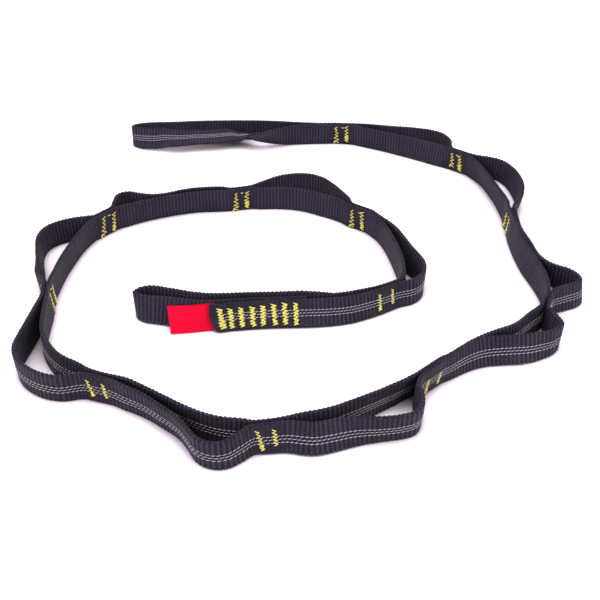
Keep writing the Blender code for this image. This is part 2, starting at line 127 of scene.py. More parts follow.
# how the webbing stands, in mm: how far its top edge is outwards of its foot, and its foot of the line; at
# each pair, at five places from each pair to the next, and evenly along the parts of the two loops
leans = {
    "pairs": [
        (-3.2, 1.8), (0.6, -0.4), (0.4, -0.3), (0.6, -0.3), (1.4, -0.3), (-1.9, 1.4),
        (-4.2, 2.5), (1.1, 0.4), (-1.2, 0.0), (1.8, 0.3), (0.6, -0.5), (0.5, 0.2),
    ],
    "spine": [
        [(-1.0, 0.1), (1.5, -0.8), (1.3, -0.8), (1.0, -0.3), (1.0, -0.3)],
        [(1.0, -1.4), (1.7, -1.1), (1.3, -0.5), (0.3, -0.5), (0.2, -0.5)],
        [(-0.2, 0.1), (-1.0, 0.8), (-1.5, 0.9), (-1.2, 0.4), (0.1, -0.1)],
        [(0.1, 0.4), (-0.9, 0.7), (-0.3, 0.3), (-0.2, -0.3), (0.0, -0.5)],
        [(1.1, -0.3), (0.1, -0.4), (-1.0, 0.1), (-1.2, 0.3), (-1.9, 0.4)],
        [(-1.6, 0.3), (-0.9, 0.1), (-0.6, 0.2), (-1.0, 0.8), (-2.8, 1.7)],
        [(-4.6, 0.9), (-1.9, 0.5), (0.0, 0.0), (1.7, -0.4), (2.7, -0.7)],
        [(0.7, 0.8), (-0.3, 0.3), (-0.2, 0.1), (0.2, 0.1), (-1.0, -0.6)],
        [(1.1, -1.1), (3.3, -1.6), (4.0, -2.1), (3.6, -2.0), (3.4, -1.3)],
        [(0.9, -0.2), (-1.3, -0.2), (-2.2, 0.4), (-2.6, 0.4), (-0.5, 0.0)],
        [(3.0, -0.8), (2.5, -1.2), (0.5, -1.2), (0.0, -0.7), (0.3, -0.3)],
    ],
    "pocket": [
        [(-1.8, 1.1), (2.4, -1.2), (6.0, -5.0), (2.0, -1.0), (0.8, -0.2)],
        [(0.7, -0.1), (0.2, -0.1), (0.4, 0.0), (0.6, 0.1), (0.8, 0.0)],
        [(0.6, 0.0), (0.6, 0.2), (0.0, 0.0), (0.2, 0.1), (0.1, -0.2)],
        [(1.3, -0.7), (0.8, -1.0), (0.9, 0.0), (1.4, -0.9), (1.2, -1.0)],
        [(1.5, -0.9), (1.7, -1.5), (1.1, 0.0), (-0.3, 0.3), (-0.3, 1.7)],
        [(0.1, -0.3), (1.3, -0.8), (1.8, 0.1), (0.4, 0.6), (-2.4, 1.3)],
        [(-7.6, 2.9), (-5.0, 1.4), (1.0, -0.2), (1.0, -0.2), (0.9, -0.7)],
        [(-2.3, 0.5), (-6.0, 1.9), (-7.6, 3.3), (-2.2, 0.9), (2.6, -2.2)],
        [(-3.6, 0.7), (-2.0, 1.5), (-0.6, 0.9), (0.3, 0.5), (0.3, -0.1)],
        [(3.0, 0.2), (2.5, -1.3), (3.1, -2.1), (1.5, -0.7), (0.3, -0.4)],
        [(0.9, -0.2), (0.3, -0.2), (0.2, 0.0), (-0.1, 0.0), (0.6, 0.3)],
    ],
    "splice_front_layer": [(-6.2, 4.3), (-7.9, 2.7), (-7.7, 2.3), (-4.6, 2.1)],
    "eye_second_layer": [(7.9, -2.2), (7.4, -2.8), (6.2, -3.4), (7.8, -4.0), (7.4, -3.6), (4.5, -3.3)],
    "eye_back_strand": [
        (-3.6, 0.4), (-4.4, 1.0), (-3.4, 0.4), (-3.4, -0.9), (-3.4, -1.2), (-4.2, -1.3), (-3.8, -0.3),
    ],
    "end_loop_back": [(-0.3, -0.2), (-0.4, -0.3), (-0.2, -0.2), (-0.6, -0.3)],
    "end_loop_front": [
        (0.4, -0.5), (0.2, -1.5), (0.0, -6.5), (0.0, -8.0), (0.0, 2.2),
        (0.0, 0.2), (0.0, 1.0), (0.0, -0.8), (0.0, 1.0), (0.0, 0.6),
    ],
    "eyeNose": (-1.3, 3.9),
}

webbing = {
    "width": 16.3 * mm,
    "half": 0.86 * mm,  # half the thickness down in the grooves
    "corner": 0.55 * mm,  # radius of the edges' corners, down in the grooves
    "ribPitch": 2.28 * mm,
    "ribDepth": 0.38 * mm,  # how far a rib stands out of its grooves on the faces
    "edgeDepth": 0.64 * mm,  # and along the two edges
    "ribPower": 0.8,  # below 1 a rib is blunter than a sine wave
    "ribUneven": 0.035,  # how far a groove may be out of place, as a share of the pitch
    "ribHeights": (0.82, 1.08),
    "ribCount": 2000,  # more than either run has
    "flatShare": 0.30,  # what is left of a rib where the layers are sewn flat
    "fade": (4.5 * mm, 15.0 * mm),  # how far from a pair the ribs start to rise, and where they are full
    "sewnTo": (47.0 * mm, 52.0 * mm),  # how far the first ends of the outer and inner run are sewn flat
    "bendShare": 0.28,  # how much more a rib stands out in a bend
    "bendRadius": 12.0 * mm,  # the bend that gives all of it
    "faceSteps": 9,
    "edgeSteps": 4,
    "neckOverrun": 5.0 * mm,  # how far a neck reaches past its mark
    "endGap": 0.05 * mm,  # no ring lies nearer than this to the last one
    # the front layer's cut end: where it starts at its top, how much later at its foot, and how far in that
    # is felt
    "skew": (-2.2 * mm, 3.4 * mm),
    "skewReach": 16.0 * mm,
    # how a cut end draws in: over which length, by what share of the thickness, and how far at the edges
    "drawIn": (1.2 * mm, 0.55, 0.5 * mm),
    "seed": 7,
}


# (cos a, sin a) of a heading in degrees
def headingOf(degrees):
    angle = np.radians(degrees)
    return np.array([np.cos(angle), np.sin(angle)])


# a quarter turn clockwise from the way along: (y, -x)
def outwardOf(along):
    return np.stack([along[..., 1], -along[..., 0]], -1)


# a tabled place in metres
def spot(place):
    return np.array(place[:2], float) * coilUnit


def spots(name):
    return [spot(place) for place in coil[name]]


# a tabled place moved sideways along its outward direction and ahead along its heading
def station(place, side=0.0, ahead=0.0):
    along = headingOf(place[2])
    return spot(place) + outwardOf(along) * side + along * ahead


# cubic Bezier pieces through the points, (1-t)^3 a + 3(1-t)^2 t b + 3(1-t)t^2 c + t^3 d, whose handles b
# and c reach a third of the chord along the line from one neighbour to the next
def curveThrough(points, firstAlong, lastAlong):
    points = np.array(points, float)
    between = points[2:] - points[:-2]
    between /= np.linalg.norm(between, axis=1)[:, None]
    alongs = np.concatenate([[firstAlong], between, [lastAlong]])
    start, end = points[:-1, None], points[1:, None]
    reach = np.linalg.norm(end - start, axis=2)[..., None] / 3
    near = start + alongs[:-1, None] * reach
    far = end - alongs[1:, None] * reach
    t = np.linspace(0, 1, coil["curveSteps"], endpoint=False)[None, :, None]
    line = (1 - t) ** 3 * start + 3 * (1 - t) ** 2 * t * near + 3 * (1 - t) * t ** 2 * far + t ** 3 * end
    return np.concatenate([line.reshape(-1, 2), points[-1:]])


# the direction at each point: the difference of its two neighbours, at length 1
def waysAlong(line):
    ways = np.gradient(line, axis=0)
    return ways / np.linalg.norm(ways, axis=1)[:, None]


def lengthsAlong(line):
    return np.concatenate([[0.0], np.cumsum(np.linalg.norm(np.diff(line, axis=0), axis=1))])


# 3 x^2 - 2 x^3, held level below 0 and above 1
def smoothstep(share):
    share = np.clip(share, 0, 1)
    return share * share * (3 - 2 * share)


# running mean over 2 reach + 1 values; past its ends a line goes on straight, other values stay level
def runningMean(values, reach, straightOn=False):
    if straightOn:
        padded = np.pad(values, reach, "reflect", reflect_type="odd")
    else:
        padded = np.pad(values, reach, "edge")
    return np.convolve(padded, np.ones(2 * reach + 1) / (2 * reach + 1), "valid")


# one strand from the middle of a pair of tacks to the middle of the next; the first and the last take in
# the whole block of their end pair
def strandLine(index, kind, side):
    first, last = coil["pairs"][index], coil["pairs"][index + 1]
    points = [station(first, side, half)]
    points += [spot(place) for place in coil[kind][index]] + [station(last, side, -half)]
    curve = curveThrough(points, headingOf(first[2]), headingOf(last[2]))
    before = station(first, side, 0.0 if index else -half)
    after = station(last, side, 0.0 if index < pockets - 1 else half)
    return np.concatenate([[before], curve, [after]])


# how far the front layer stands off for the label's tab, easing to nothing at the second tack
def seamOpening(run):
    return coil["tabRoom"] * (1 - smoothstep((run - coil["tab"]) / coil["tabEase"]))


# one line through named parts: even steps, smoothed by a running mean, with the way along and the bend
def joinedRun(parts):
    points = np.concatenate([line for name, line in parts])
    gone = lengthsAlong(points)
    ends = np.cumsum([len(line) for name, line in parts])
    marks = {name: (gone[end - len(line)], gone[end - 1]) for (name, line), end in zip(parts, ends)}
    fresh = np.concatenate([[True], np.diff(gone) > 1e-8])
    run = np.linspace(0, gone[-1], int(gone[-1] / coil["step"]))
    even = [np.interp(run, gone[fresh], points[fresh, axis]) for axis in (0, 1)]
    smooth = np.stack([runningMean(values, coil["lineReach"], True) for values in even], 1)
    ways = waysAlong(smooth)
    bend = np.gradient(np.unwrap(np.arctan2(ways[:, 1], ways[:, 0])), run)
    return {"run": run, "point": smooth, "along": ways, "bend": np.abs(bend), "marks": marks}


# the sewn seam, its two layers, and the eye and the end loop that go out from them
coilUnit = coil["span"] / 1000
pockets = len(coil["pocket"])
half = coil["block"] / 2
halfPitch = coil["layerPitch"] / 2
firstPair, lastPair = coil["pairs"][0], coil["pairs"][-1]
seamAlong = headingOf(coil["seamEnd"][2])
rootAlong = headingOf(coil["eyeRoot"][2])
seamPlaces = [spot(coil["seamEnd"])] + spots("seam")[::-1] + [spot(coil["eyeRoot"])]
seam = curveThrough(seamPlaces, seamAlong, rootAlong)
seamOut = outwardOf(waysAlong(seam))
frontLayer = seam + seamOut * (halfPitch + seamOpening(lengthsAlong(seam)))[:, None]
behind = seam - seamOut * halfPitch
lapped = behind[behind[:, 0] < coil["secondLayerEnd"] * coilUnit]
meets = behind[behind[:, 0] > coil["backMeets"] * coilUnit]
noseAlong = headingOf(90)
eyeNose, loopNose = spot(coil["eyeNose"]), spot(coil["loopNose"])
eyeFront = curveThrough([lapped[0]] + spots("eyeFront") + [eyeNose], -seamAlong, noseAlong)
eyeBack = curveThrough([eyeNose] + spots("eyeBack") + [meets[0]], noseAlong, waysAlong(meets)[0])
loopAlong = headingOf(coil["loopRoot"][2])
loopStart, loopEnd = station(coil["loopRoot"], -halfPitch), station(coil["loopRoot"], halfPitch)
loopFront = curveThrough([loopStart] + spots("loopFront") + [loopNose], loopAlong, noseAlong)
loopBack = curveThrough([loopNose] + spots("loopBack") + [loopEnd], noseAlong, -loopAlong)


# a straight neck between a pair's block and the root of the eye or the end loop
def neckLine(side, place, ahead, root):
    return np.stack([station(place, side, ahead), station(root, side)])


# all strands of one kind, each under the name of its CAD node
def strands(kind, side):
    return [(f"{kind}_strand_{k + 1:02d}", strandLine(k, kind, side)) for k in range(pockets)]


# the outer run is the lapped front layer, the pockets and the back of the end loop; the inner run is the
# eye, the spine and the front of the end loop
outer = joinedRun([
    ("splice_front_layer", frontLayer),
    ("eye_neck_outer", neckLine(halfPitch, firstPair, -half, coil["eyeRoot"])[::-1]),
    *strands("pocket", halfPitch),
    ("end_loop_neck_outer", neckLine(halfPitch, lastPair, half, coil["loopRoot"])),
    ("end_loop_back", loopBack[::-1]),
])
inner = joinedRun([
    ("eye_second_layer", np.concatenate([lapped[::-1], eyeFront[1:]])),
    ("eye_back_strand", np.concatenate([eyeBack[:-1], meets])),
    ("eye_neck_inner", neckLine(-halfPitch, firstPair, -half, coil["eyeRoot"])[::-1]),
    *strands("spine", -halfPitch),
    ("end_loop_neck_inner", neckLine(-halfPitch, lastPair, half, coil["loopRoot"])),
    ("end_loop_front", loopFront),
])


# how far along a run the middle of each pair of tacks is
def pairRuns(strip, kind):
    marks = strip["marks"]
    runs = [marks[f"{kind}_strand_{k + 1:02d}"][0] for k in range(pockets)]
    runs.append(marks[f"{kind}_strand_{pockets:02d}"][1] - half)
    runs[0] += half
    return np.array(runs)


# top and foot offsets along a run, linear between the tabled places and then smoothed; the lean is the
# angle asin(top offset / width)
def leanAlong(strip, kind):
    marks, pairs = strip["marks"], strip["pairs"]
    places, values = list(pairs), list(leans["pairs"])
    for index, rows in enumerate(leans[kind]):
        gap = pairs[index + 1] - pairs[index]
        places += [pairs[index] + gap * (step + 1) / (len(rows) + 1) for step in range(len(rows))]
        values += rows
    for name, (start, end) in marks.items():
        rows = leans.get(name, [])
        places += [start + (end - start) * (step + 0.5) / len(rows) for step in range(len(rows))]
        values += rows
    if kind == "spine":
        places.append(marks["eye_back_strand"][0])
        values.append(leans["eyeNose"])
    order = np.argsort(places)
    places, values = np.array(places)[order], np.array(values, float)[order] * mm
    top, foot = (
        runningMean(np.interp(strip["run"], places, values[:, axis]), coil["leanReach"]) for axis in (0, 1)
    )
    strip["lean"], strip["foot"] = -np.arcsin(top / webbing["width"]), foot


for strip, kind, sewnTo in zip((outer, inner), ("pocket", "spine"), webbing["sewnTo"]):
    strip["pairs"] = pairRuns(strip, kind)
    strip["sewnTo"] = sewnTo
    leanAlong(strip, kind)
onLoop = inner["run"] >= inner["marks"]["end_loop_front"][0]
leftwards, turned = np.array(coil["turnOver"], float).T
turnedOver = runningMean(np.interp(inner["point"][:, 0], leftwards * mm, turned), coil["turnReach"])
inner["roll"] = np.where(onLoop, np.radians(turnedOver), 0.0)
outer["roll"] = np.zeros(len(outer["run"]))
print("webbing laid out:", round(outer["run"][-1] + inner["run"][-1], 3), "m")


# middle, side and rise of the webbing at a run: side is its outward normal turned up by the lean and
# roll, rise is square to it; the middle stands over the foot, (w/2) |cos| + (t/2) |sin| above the floor,
# and is held up by turnLift sin^2 of the roll
def frameAt(strip, run):
    def at(values):
        return np.interp(run, strip["run"], values)

    point = np.stack([at(strip["point"][:, 0]), at(strip["point"][:, 1])], -1)
    along = np.stack([at(strip["along"][:, 0]), at(strip["along"][:, 1])], -1)
    along /= np.linalg.norm(along, axis=-1)[..., None]
    outward = outwardOf(along)
    lean, roll = at(strip["lean"]), at(strip["roll"])
    turn = lean + roll
    halfWidth = webbing["width"] / 2
    side = np.concatenate([outward * np.cos(turn)[..., None], np.sin(turn)[..., None]], -1)
    rise = np.concatenate([-outward * np.sin(turn)[..., None], np.cos(turn)[..., None]], -1)
    foot = point + outward * (at(strip["foot"]) - halfWidth * np.sin(lean))[..., None]
    thick = webbing["half"] + webbing["ribDepth"]
    height = halfWidth * np.abs(np.cos(turn)) + thick * np.abs(np.sin(turn))
    height = height + coil["turnLift"] * np.sin(roll) ** 2
    middle = np.concatenate([foot, height[..., None]], -1)
    return middle, side, rise


# 1 on free webbing in a bend, a little less where it is straight, and flatShare of that at sewn places
def ribStrength(strip, run):
    near, far = webbing["fade"]
    away = np.abs(run[:, None] - strip["pairs"][None]).min(1)
    free = smoothstep((away - near) / (far - near))
    free = np.minimum(free, smoothstep((run - strip["sewnTo"]) / (far - near)))
    bend = np.clip(np.interp(run, strip["run"], strip["bend"]) * webbing["bendRadius"], 0, 1)
    bent = 1 - webbing["bendShare"] + webbing["bendShare"] * bend
    return (webbing["flatShare"] + (1 - webbing["flatShare"]) * free) * bent


# a point on one face: middle + rise * height + side * face * (half thickness + rib + lift)
def onFace(strip, run, height, lift, face):
    middle, side, rise = frameAt(strip, run)
    out = webbing["half"] + webbing["ribDepth"] * ribStrength(strip, run) + lift
    return middle + rise * height[..., None] + side * (face * out)[..., None]


# a mesh from arrays: points (n, 3), faces as a list of (m, 3) or (m, 4) index arrays, and the weave's
# coordinates per face corner in the same order
def meshObject(name, points, faces, materials, corners=None, slots=None, ribs=None):
    data = bpy.data.meshes.new(name)
    data.vertices.add(len(points))
    data.vertices.foreach_set("co", np.asarray(points, np.float32).ravel())
    loops = np.concatenate([f.ravel() for f in faces])
    sizes = np.concatenate([np.full(len(f), f.shape[1]) for f in faces])
    data.loops.add(len(loops))
    data.loops.foreach_set("vertex_index", loops.astype(np.int32))
    data.polygons.add(len(sizes))
    data.polygons.foreach_set("loop_start", np.concatenate([[0], np.cumsum(sizes)[:-1]]).astype(np.int32))
    data.polygons.foreach_set("use_smooth", np.ones(len(sizes), bool))
    if slots is not None:
        data.polygons.foreach_set("material_index", np.asarray(slots, np.int32))
    data.update(calc_edges=True)
    if corners is not None:
        layer = data.uv_layers.new(name="weave")
        layer.uv.foreach_set("vector", np.asarray(corners, np.float32).ravel())
    if ribs is not None:
        strength = data.attributes.new("ribs", "FLOAT", "POINT")
        strength.data.foreach_set("value", np.asarray(ribs, np.float32))
    data.validate()
    made = bpy.data.objects.new(name, data)
    bpy.context.scene.collection.objects.link(made)
    for material in materials:
        data.materials.append(material)
    return made


# a flat section with rounded corners, down in the grooves: two faces, and two quarter circles at each edge;
# gives thickness, height, outward normal, how much of an edge each point is (0 to 1), and the way round
def sectionOutline():
    corner = webbing["corner"]
    flat = webbing["width"] / 2 - webbing["edgeDepth"] - corner
    deep = webbing["half"] - corner
    across = np.linspace(-flat, flat, webbing["faceSteps"] + 1)
    turn = np.linspace(0, np.pi / 2, webbing["edgeSteps"] + 1)
    nought, one = np.zeros(len(across)), np.ones(len(across))
    face = np.stack([one * webbing["half"], across, one, nought, nought], 1)
    cosines, sines = np.cos(turn), np.sin(turn)
    near = np.stack([deep + corner * cosines, flat + corner * sines, cosines, sines, sines], 1)[1:]
    far = (near * [-1, 1, -1, 1, 1])[::-1]
    top = np.concatenate([near, far])
    section = np.concatenate([face, top, face * [-1, -1, -1, 1, 1], top * [-1, -1, -1, -1, 1]])
    closed = np.concatenate([section[:, :2], section[:1, :2]])
    return section, lengthsAlong(closed) - flat


# quads between neighbouring rings, and the ring and step of each quad's corners for its coordinates
def tubeFaces(rings, around):
    ring, step = np.meshgrid(np.arange(rings - 1), np.arange(around), indexing="ij")
    nextStep = (step + 1) % around
    quads = np.stack([
        ring * around + step, ring * around + nextStep,
        (ring + 1) * around + nextStep, (ring + 1) * around + step,
    ], -1).reshape(-1, 4)
    places = np.stack([
        np.stack([ring, step], -1), np.stack([ring, step + 1], -1),
        np.stack([ring + 1, step + 1], -1), np.stack([ring + 1, step], -1),
    ], -2).reshape(-1, 4, 2)
    return quads, places


# triangles that close a tube's first and last ring on two points that come after the rings
def endCaps(rings, around):
    step = np.arange(around)
    follow = (step + 1) % around
    first, base = rings * around, (rings - 1) * around
    firstCap = np.stack([np.full(around, first), follow, step], -1)
    lastCap = np.stack([np.full(around, first + 1), base + step, base + follow], -1)
    return [firstCap, lastCap]


# the rings' points, and then the middle of the first and of the last ring
def withCapPoints(rings):
    return np.concatenate([rings.reshape(-1, 3), rings[0].mean(0)[None], rings[-1].mean(0)[None]])


random = np.random.default_rng(webbing["seed"])
ribJitter = random.uniform(-webbing["ribUneven"], webbing["ribUneven"], webbing["ribCount"])
ribJitter[0] = 0.0
ribHeight = random.uniform(*webbing["ribHeights"], webbing["ribCount"])
ribShares = np.array([0.0, 0.06, 0.16, 0.30, 0.50, 0.70, 0.84, 0.94])
outline, wayRound = sectionOutline()

tracer = {
    "spacing": 1.6 * mm,
    "width": 0.36 * mm,
    "lengthShare": 0.98,  # of the rib pitch
    "slant": 0.34 * mm,
    "stand": 0.14 * mm,
    "sitShare": 0.2,  # how high a float's middle is, as a share of its stand
    "sink": (0.10 * mm, 0.16 * mm),  # how deep a float dives at its ends, and where its tips are
    "placeShares": (0.16, 0.5, 0.84),
    "sides": 6,
    "power": 0.4,  # below 1 a float is blunter than a sine wave
}
# how far above mid-width the tracers run: near the cut end, at the middle pairs and at the far end
outer["tracer"] = ((0.0, 0.09, 0.8, 1.1, outer["run"][-1]), (0.1, 0.0, -0.9, -0.3, 0.9))
inner["tracer"] = ((0.0, inner["run"][-1] - 0.1, inner["run"][-1]), (-0.2, -0.2, 0.0))


# run, place in its rib and rib number of each ring, from one groove to another
def ribGrid(fromRun, toRun):
    pitch = webbing["ribPitch"]
    first, last = round(fromRun / pitch), round(toRun / pitch)
    number = np.repeat(np.arange(first, last), len(ribShares))
    share = np.tile(ribShares, last - first)
    number, share = np.append(number, last), np.append(share, 0.0)
    jitter = ribJitter[number] * (1 - share) + ribJitter[number + 1] * share
    return (number + share + jitter) * pitch, share, number


# a length of webbing: middle + side (t + n_t d) + rise (h + n_h d), where the rib's stand d is its depth
# times |sin(pi x)|^ribPower at the place x in the rib; a cut end draws in, and its foot is set back
def webbingStrip(name, strip, fromRun, toRun, cutEnd):
    end = strip["run"][-1]
    last = toRun > end - webbing["endGap"]
    run, share, number = ribGrid(fromRun, toRun + last * webbing["ribPitch"] / 2)
    keep = (run >= 0) & (run < end - webbing["endGap"])
    run, share, number = run[keep], share[keep], number[keep]
    if last:  # the two runs meet in a groove at the loop's nose
        run, share, number = np.append(run, end), np.append(share, 0.0), np.append(number, number[-1] + 1)
    middle, side, rise = frameAt(strip, run)
    strength = ribStrength(strip, run)[:, None]
    stand = np.abs(np.sin(np.pi * share))[:, None] ** webbing["ribPower"] * ribHeight[number][:, None]
    thickness, height, normalT, normalH, edge = outline.T
    edgeDepth = webbing["edgeDepth"] * (0.5 + 0.5 * strength)
    depth = webbing["ribDepth"] * strength * (1 - edge) + edgeDepth * edge
    out = depth * stand
    across, up = thickness + normalT * out, height + normalH * out
    askew = np.zeros((len(run), 1))
    if cutEnd:
        gone = (run - run[0])[:, None]
        drawLength, drawShare, drawHeight = webbing["drawIn"]
        full = 1 - (1 - np.clip(gone / drawLength, 0, 1)) ** 2 * drawShare
        across = across * full
        up = up - np.sign(height) * (1 - full) * drawHeight
        low = np.clip(0.5 - height / webbing["width"], 0, 1)
        topSkew, footSkew = webbing["skew"]
        askew = (1 - smoothstep(gone / webbing["skewReach"])) * (topSkew + footSkew * low ** 3)
    along = np.cross(rise, side)
    points = middle[:, None] + side[:, None] * across[..., None] + rise[:, None] * up[..., None]
    points = points + along[:, None] * askew[..., None]
    rings, around = points.shape[:2]
    quads, places = tubeFaces(rings, around)
    weave = (number + share) * webbing["ribPitch"]
    corners = np.stack([weave[places[..., 0]], wayRound[places[..., 1]]], -1).reshape(-1, 2)
    capCorners = np.repeat([[weave[0]] * 2, [weave[-1]] * 2], around * 3, axis=0)
    points = withCapPoints(points)
    floatPoints, floatFaces, floatCorners = tracerFloats(strip, run[0], run[-1])
    floatFaces = [f + len(points) for f in floatFaces]
    # the rib strength that the material reads for its painted crest highlight, halved along the edges so
    # that they are painted less bright
    ribs = np.concatenate([(strength * (1 - 0.5 * edge)).ravel(), np.zeros(2 + len(floatPoints))])
    points = np.concatenate([points, floatPoints])
    corners = np.concatenate([corners, capCorners, floatCorners])
    slots = np.repeat([0, 1], [len(quads) + 2 * around, sum(len(f) for f in floatFaces)])
    faces = [quads] + endCaps(rings, around) + floatFaces
    return meshObject(name, points, faces, (webbingMaterial, tracerMaterial), corners, slots, ribs)


# three rows of white floats on the outward face, one on each rib, the middle row half a rib on; each is a
# small closed spindle, w sin(pi t)^power wide at t along it, that dives at its ends and rises by its slant
def tracerFloats(strip, fromRun, toRun):
    pitch, stand, sides = webbing["ribPitch"], tracer["stand"], tracer["sides"]
    sink, tipSink = tracer["sink"]
    numbers = np.arange(round(fromRun / pitch), round(toRun / pitch))
    row, number = [grid.ravel() for grid in np.meshgrid([-1, 0, 1], numbers, indexing="ij")]
    centre = (number + 0.5 + 0.5 * (row == 0)) * pitch
    keep = (centre > pitch) & (centre < strip["run"][-1] - pitch)
    row, centre = row[keep], centre[keep]
    t = np.array(tracer["placeShares"])
    turn = np.arange(sides) / sides * 2 * np.pi
    wide = np.sin(np.pi * t) ** tracer["power"] * tracer["width"] / 2
    length = tracer["lengthShare"] * pitch
    middle = np.interp(centre, *strip["tracer"]) * mm + row * tracer["spacing"]
    shape = (len(centre), len(t), sides)
    run = np.broadcast_to((centre[:, None] + (t - 0.5) * length)[..., None], shape)
    level = middle[:, None] + (t - 0.5) * tracer["slant"]
    height = level[..., None] + wide[None, :, None] * np.cos(turn)
    lift = stand * np.sin(turn) * (wide / wide.max())[:, None] + stand * tracer["sitShare"]
    lift = np.broadcast_to(lift - (sink * (1 - np.sin(np.pi * t)))[:, None], shape)
    body = onFace(strip, run.ravel(), height.ravel(), lift.ravel(), 1.0)
    ends = np.array([-0.5, 0.5])
    tipRun = centre[:, None] + ends * length
    tipLevel = middle[:, None] + ends * tracer["slant"]
    tips = onFace(strip, tipRun.ravel(), tipLevel.ravel(), np.full(tipRun.size, -tipSink), 1.0)
    points = np.concatenate([body.reshape(len(centre), -1, 3), tips.reshape(-1, 2, 3)], 1)
    quads = tubeFaces(len(t), sides)[0][:, ::-1]
    caps = np.concatenate(endCaps(len(t), sides))[:, [0, 2, 1]]
    base = (np.arange(len(centre)) * points.shape[1])[:, None, None]
    faces = [(quads[None] + base).reshape(-1, 4), (caps[None] + base).reshape(-1, 3)]
    corner = points[..., [0, 2]].reshape(-1, 2)
    return points.reshape(-1, 3), faces, np.concatenate([corner[f.ravel()] for f in faces])


def newMaterial(name, look):
    material = bpy.data.materials.new(name)
    material.use_nodes = True
    tree = material.node_tree
    shader = tree.nodes["Principled BSDF"]
    shader.inputs["Roughness"].default_value = look["roughness"]
    shader.inputs["Sheen Weight"].default_value = look.get("sheen", 0.0)
    shader.inputs["Specular IOR Level"].default_value = look.get("specular", 0.5)
    return material, tree, shader


# gives a node's input a socket to follow, a number or a colour
def plug(tree, value, socket):
    if isinstance(value, bpy.types.NodeSocket):
        tree.links.new(value, socket)
    else:
        socket.default_value = (*value, 1) if isinstance(value, tuple) else value


# a function that adds Math nodes to a tree
def mathsIn(tree):
    def maths(operation, *values):
        node = tree.nodes.new("ShaderNodeMath")
        node.operation = operation
        for value, socket in zip(values, node.inputs):
            plug(tree, value, socket)
        return node.outputs[0]

    return maths


# the value, held between least and 1
def between(maths, value, least=0.0):
    return maths("MINIMUM", maths("MAXIMUM", value, least), 1.0)


# |sin(pi value)|
def arches(maths, value):
    return maths("ABSOLUTE", maths("SINE", maths("MULTIPLY", value, math.pi)))


def mixColour(tree, factor, first, second):
    node = tree.nodes.new("ShaderNodeMix")
    node.data_type = "RGBA"
    for index, value in ((0, factor), (6, first), (7, second)):
        plug(tree, value, node.inputs[index])
    return node.outputs[2]


def bump(tree, shader, height, distance):
    node = tree.nodes.new("ShaderNodeBump")
    node.inputs["Distance"].default_value = distance
    tree.links.new(height, node.inputs["Height"])
    tree.links.new(node.outputs[0], shader.inputs["Normal"])


# the weave's coordinates, whole and split into along and around
def weaveCoordinates(tree):
    node = tree.nodes.new("ShaderNodeUVMap")
    node.uv_map = "weave"
    split = tree.nodes.new("ShaderNodeSeparateXYZ")
    tree.links.new(node.outputs[0], split.inputs[0])
    return node.outputs[0], split.outputs[0], split.outputs[1]


def objectCoordinates(tree):
    return tree.nodes.new("ShaderNodeTexCoord").outputs["Object"]


def noise(tree, vector, scale, detail):
    node = tree.nodes.new("ShaderNodeTexNoise")
    node.inputs["Scale"].default_value = scale
    node.inputs["Detail"].default_value = detail
    tree.links.new(vector, node.inputs["Vector"])
    return node.outputs[0]


# the share of the sky that nothing nearer than the reach covers, 0 to 1
def openAround(tree, reach):
    node = tree.nodes.new("ShaderNodeAmbientOcclusion")
    node.samples = 8
    node.inputs["Distance"].default_value = reach
    return node.outputs["AO"]


# painted shade in nooks: how far it looks for cover, its near-black colour, and its gain and loss on the
# webbing and on the floor
paintedNookShade = {
    "reach": 14.0 * mm,
    "colour": (0.0015, 0.0010, 0.0025),
    "webbing": (1.9, 0.25),  # gain and loss
    "floor": (3.0, 0.3),
}


# painted shade: deep between two strands hardly any light comes, so the colour is darkened there; the share
# gain * openness - loss of the colour is kept, held between least and 1, and the rest is the painted shade's
# near-black colour
def paintNookShade(tree, colour, depth, least=0.0):
    maths = mathsIn(tree)
    gain, loss = depth
    openness = maths("MULTIPLY_ADD", openAround(tree, paintedNookShade["reach"]), gain, -loss)
    return mixColour(tree, between(maths, openness, least), paintedNookShade["colour"], colour)


# the webbing's colour runs from its dark dye, darkened further as painted shade down in the grooves, to a
# painted highlight on the rib crests and the raised yarns
webbingLook = {
    "yarn": 0.46 * mm,
    "dyeAndGrooveShade": (0.0085, 0.0066, 0.0145),
    "crestHighlight": (0.108, 0.083, 0.146),
    "roughness": 0.62,
    "sheen": 0.07,
    "sheenRoughness": 0.4,
    "specular": 0.15,
    "bump": 0.10 * mm,
    "overShare": 0.6,  # how much lower a yarn is where it passes under
    "crestPower": 9.0,  # how narrow the light line on top of a rib is
    "crestLeast": 0.75,  # the dullest rib
    "crestSpread": 0.5,  # how much brighter the brightest is
    "yarnShare": 0.25,  # how much of the crest's colour yarns and ribs bring in
    "crestShare": 0.54,
    # scale, detail and share of the shade
    "noises": {"wide": (60.0, 2.0, 0.35), "fine": (2600.0, 3.0, 0.45), "grain": (1250.0, 1.0, 0.75)},
    "fineBump": 0.25,
    "sewnGain": 1.3,  # the colour keeps 1 - sewnGain * ribs at least, so that sewn places stay lit
}


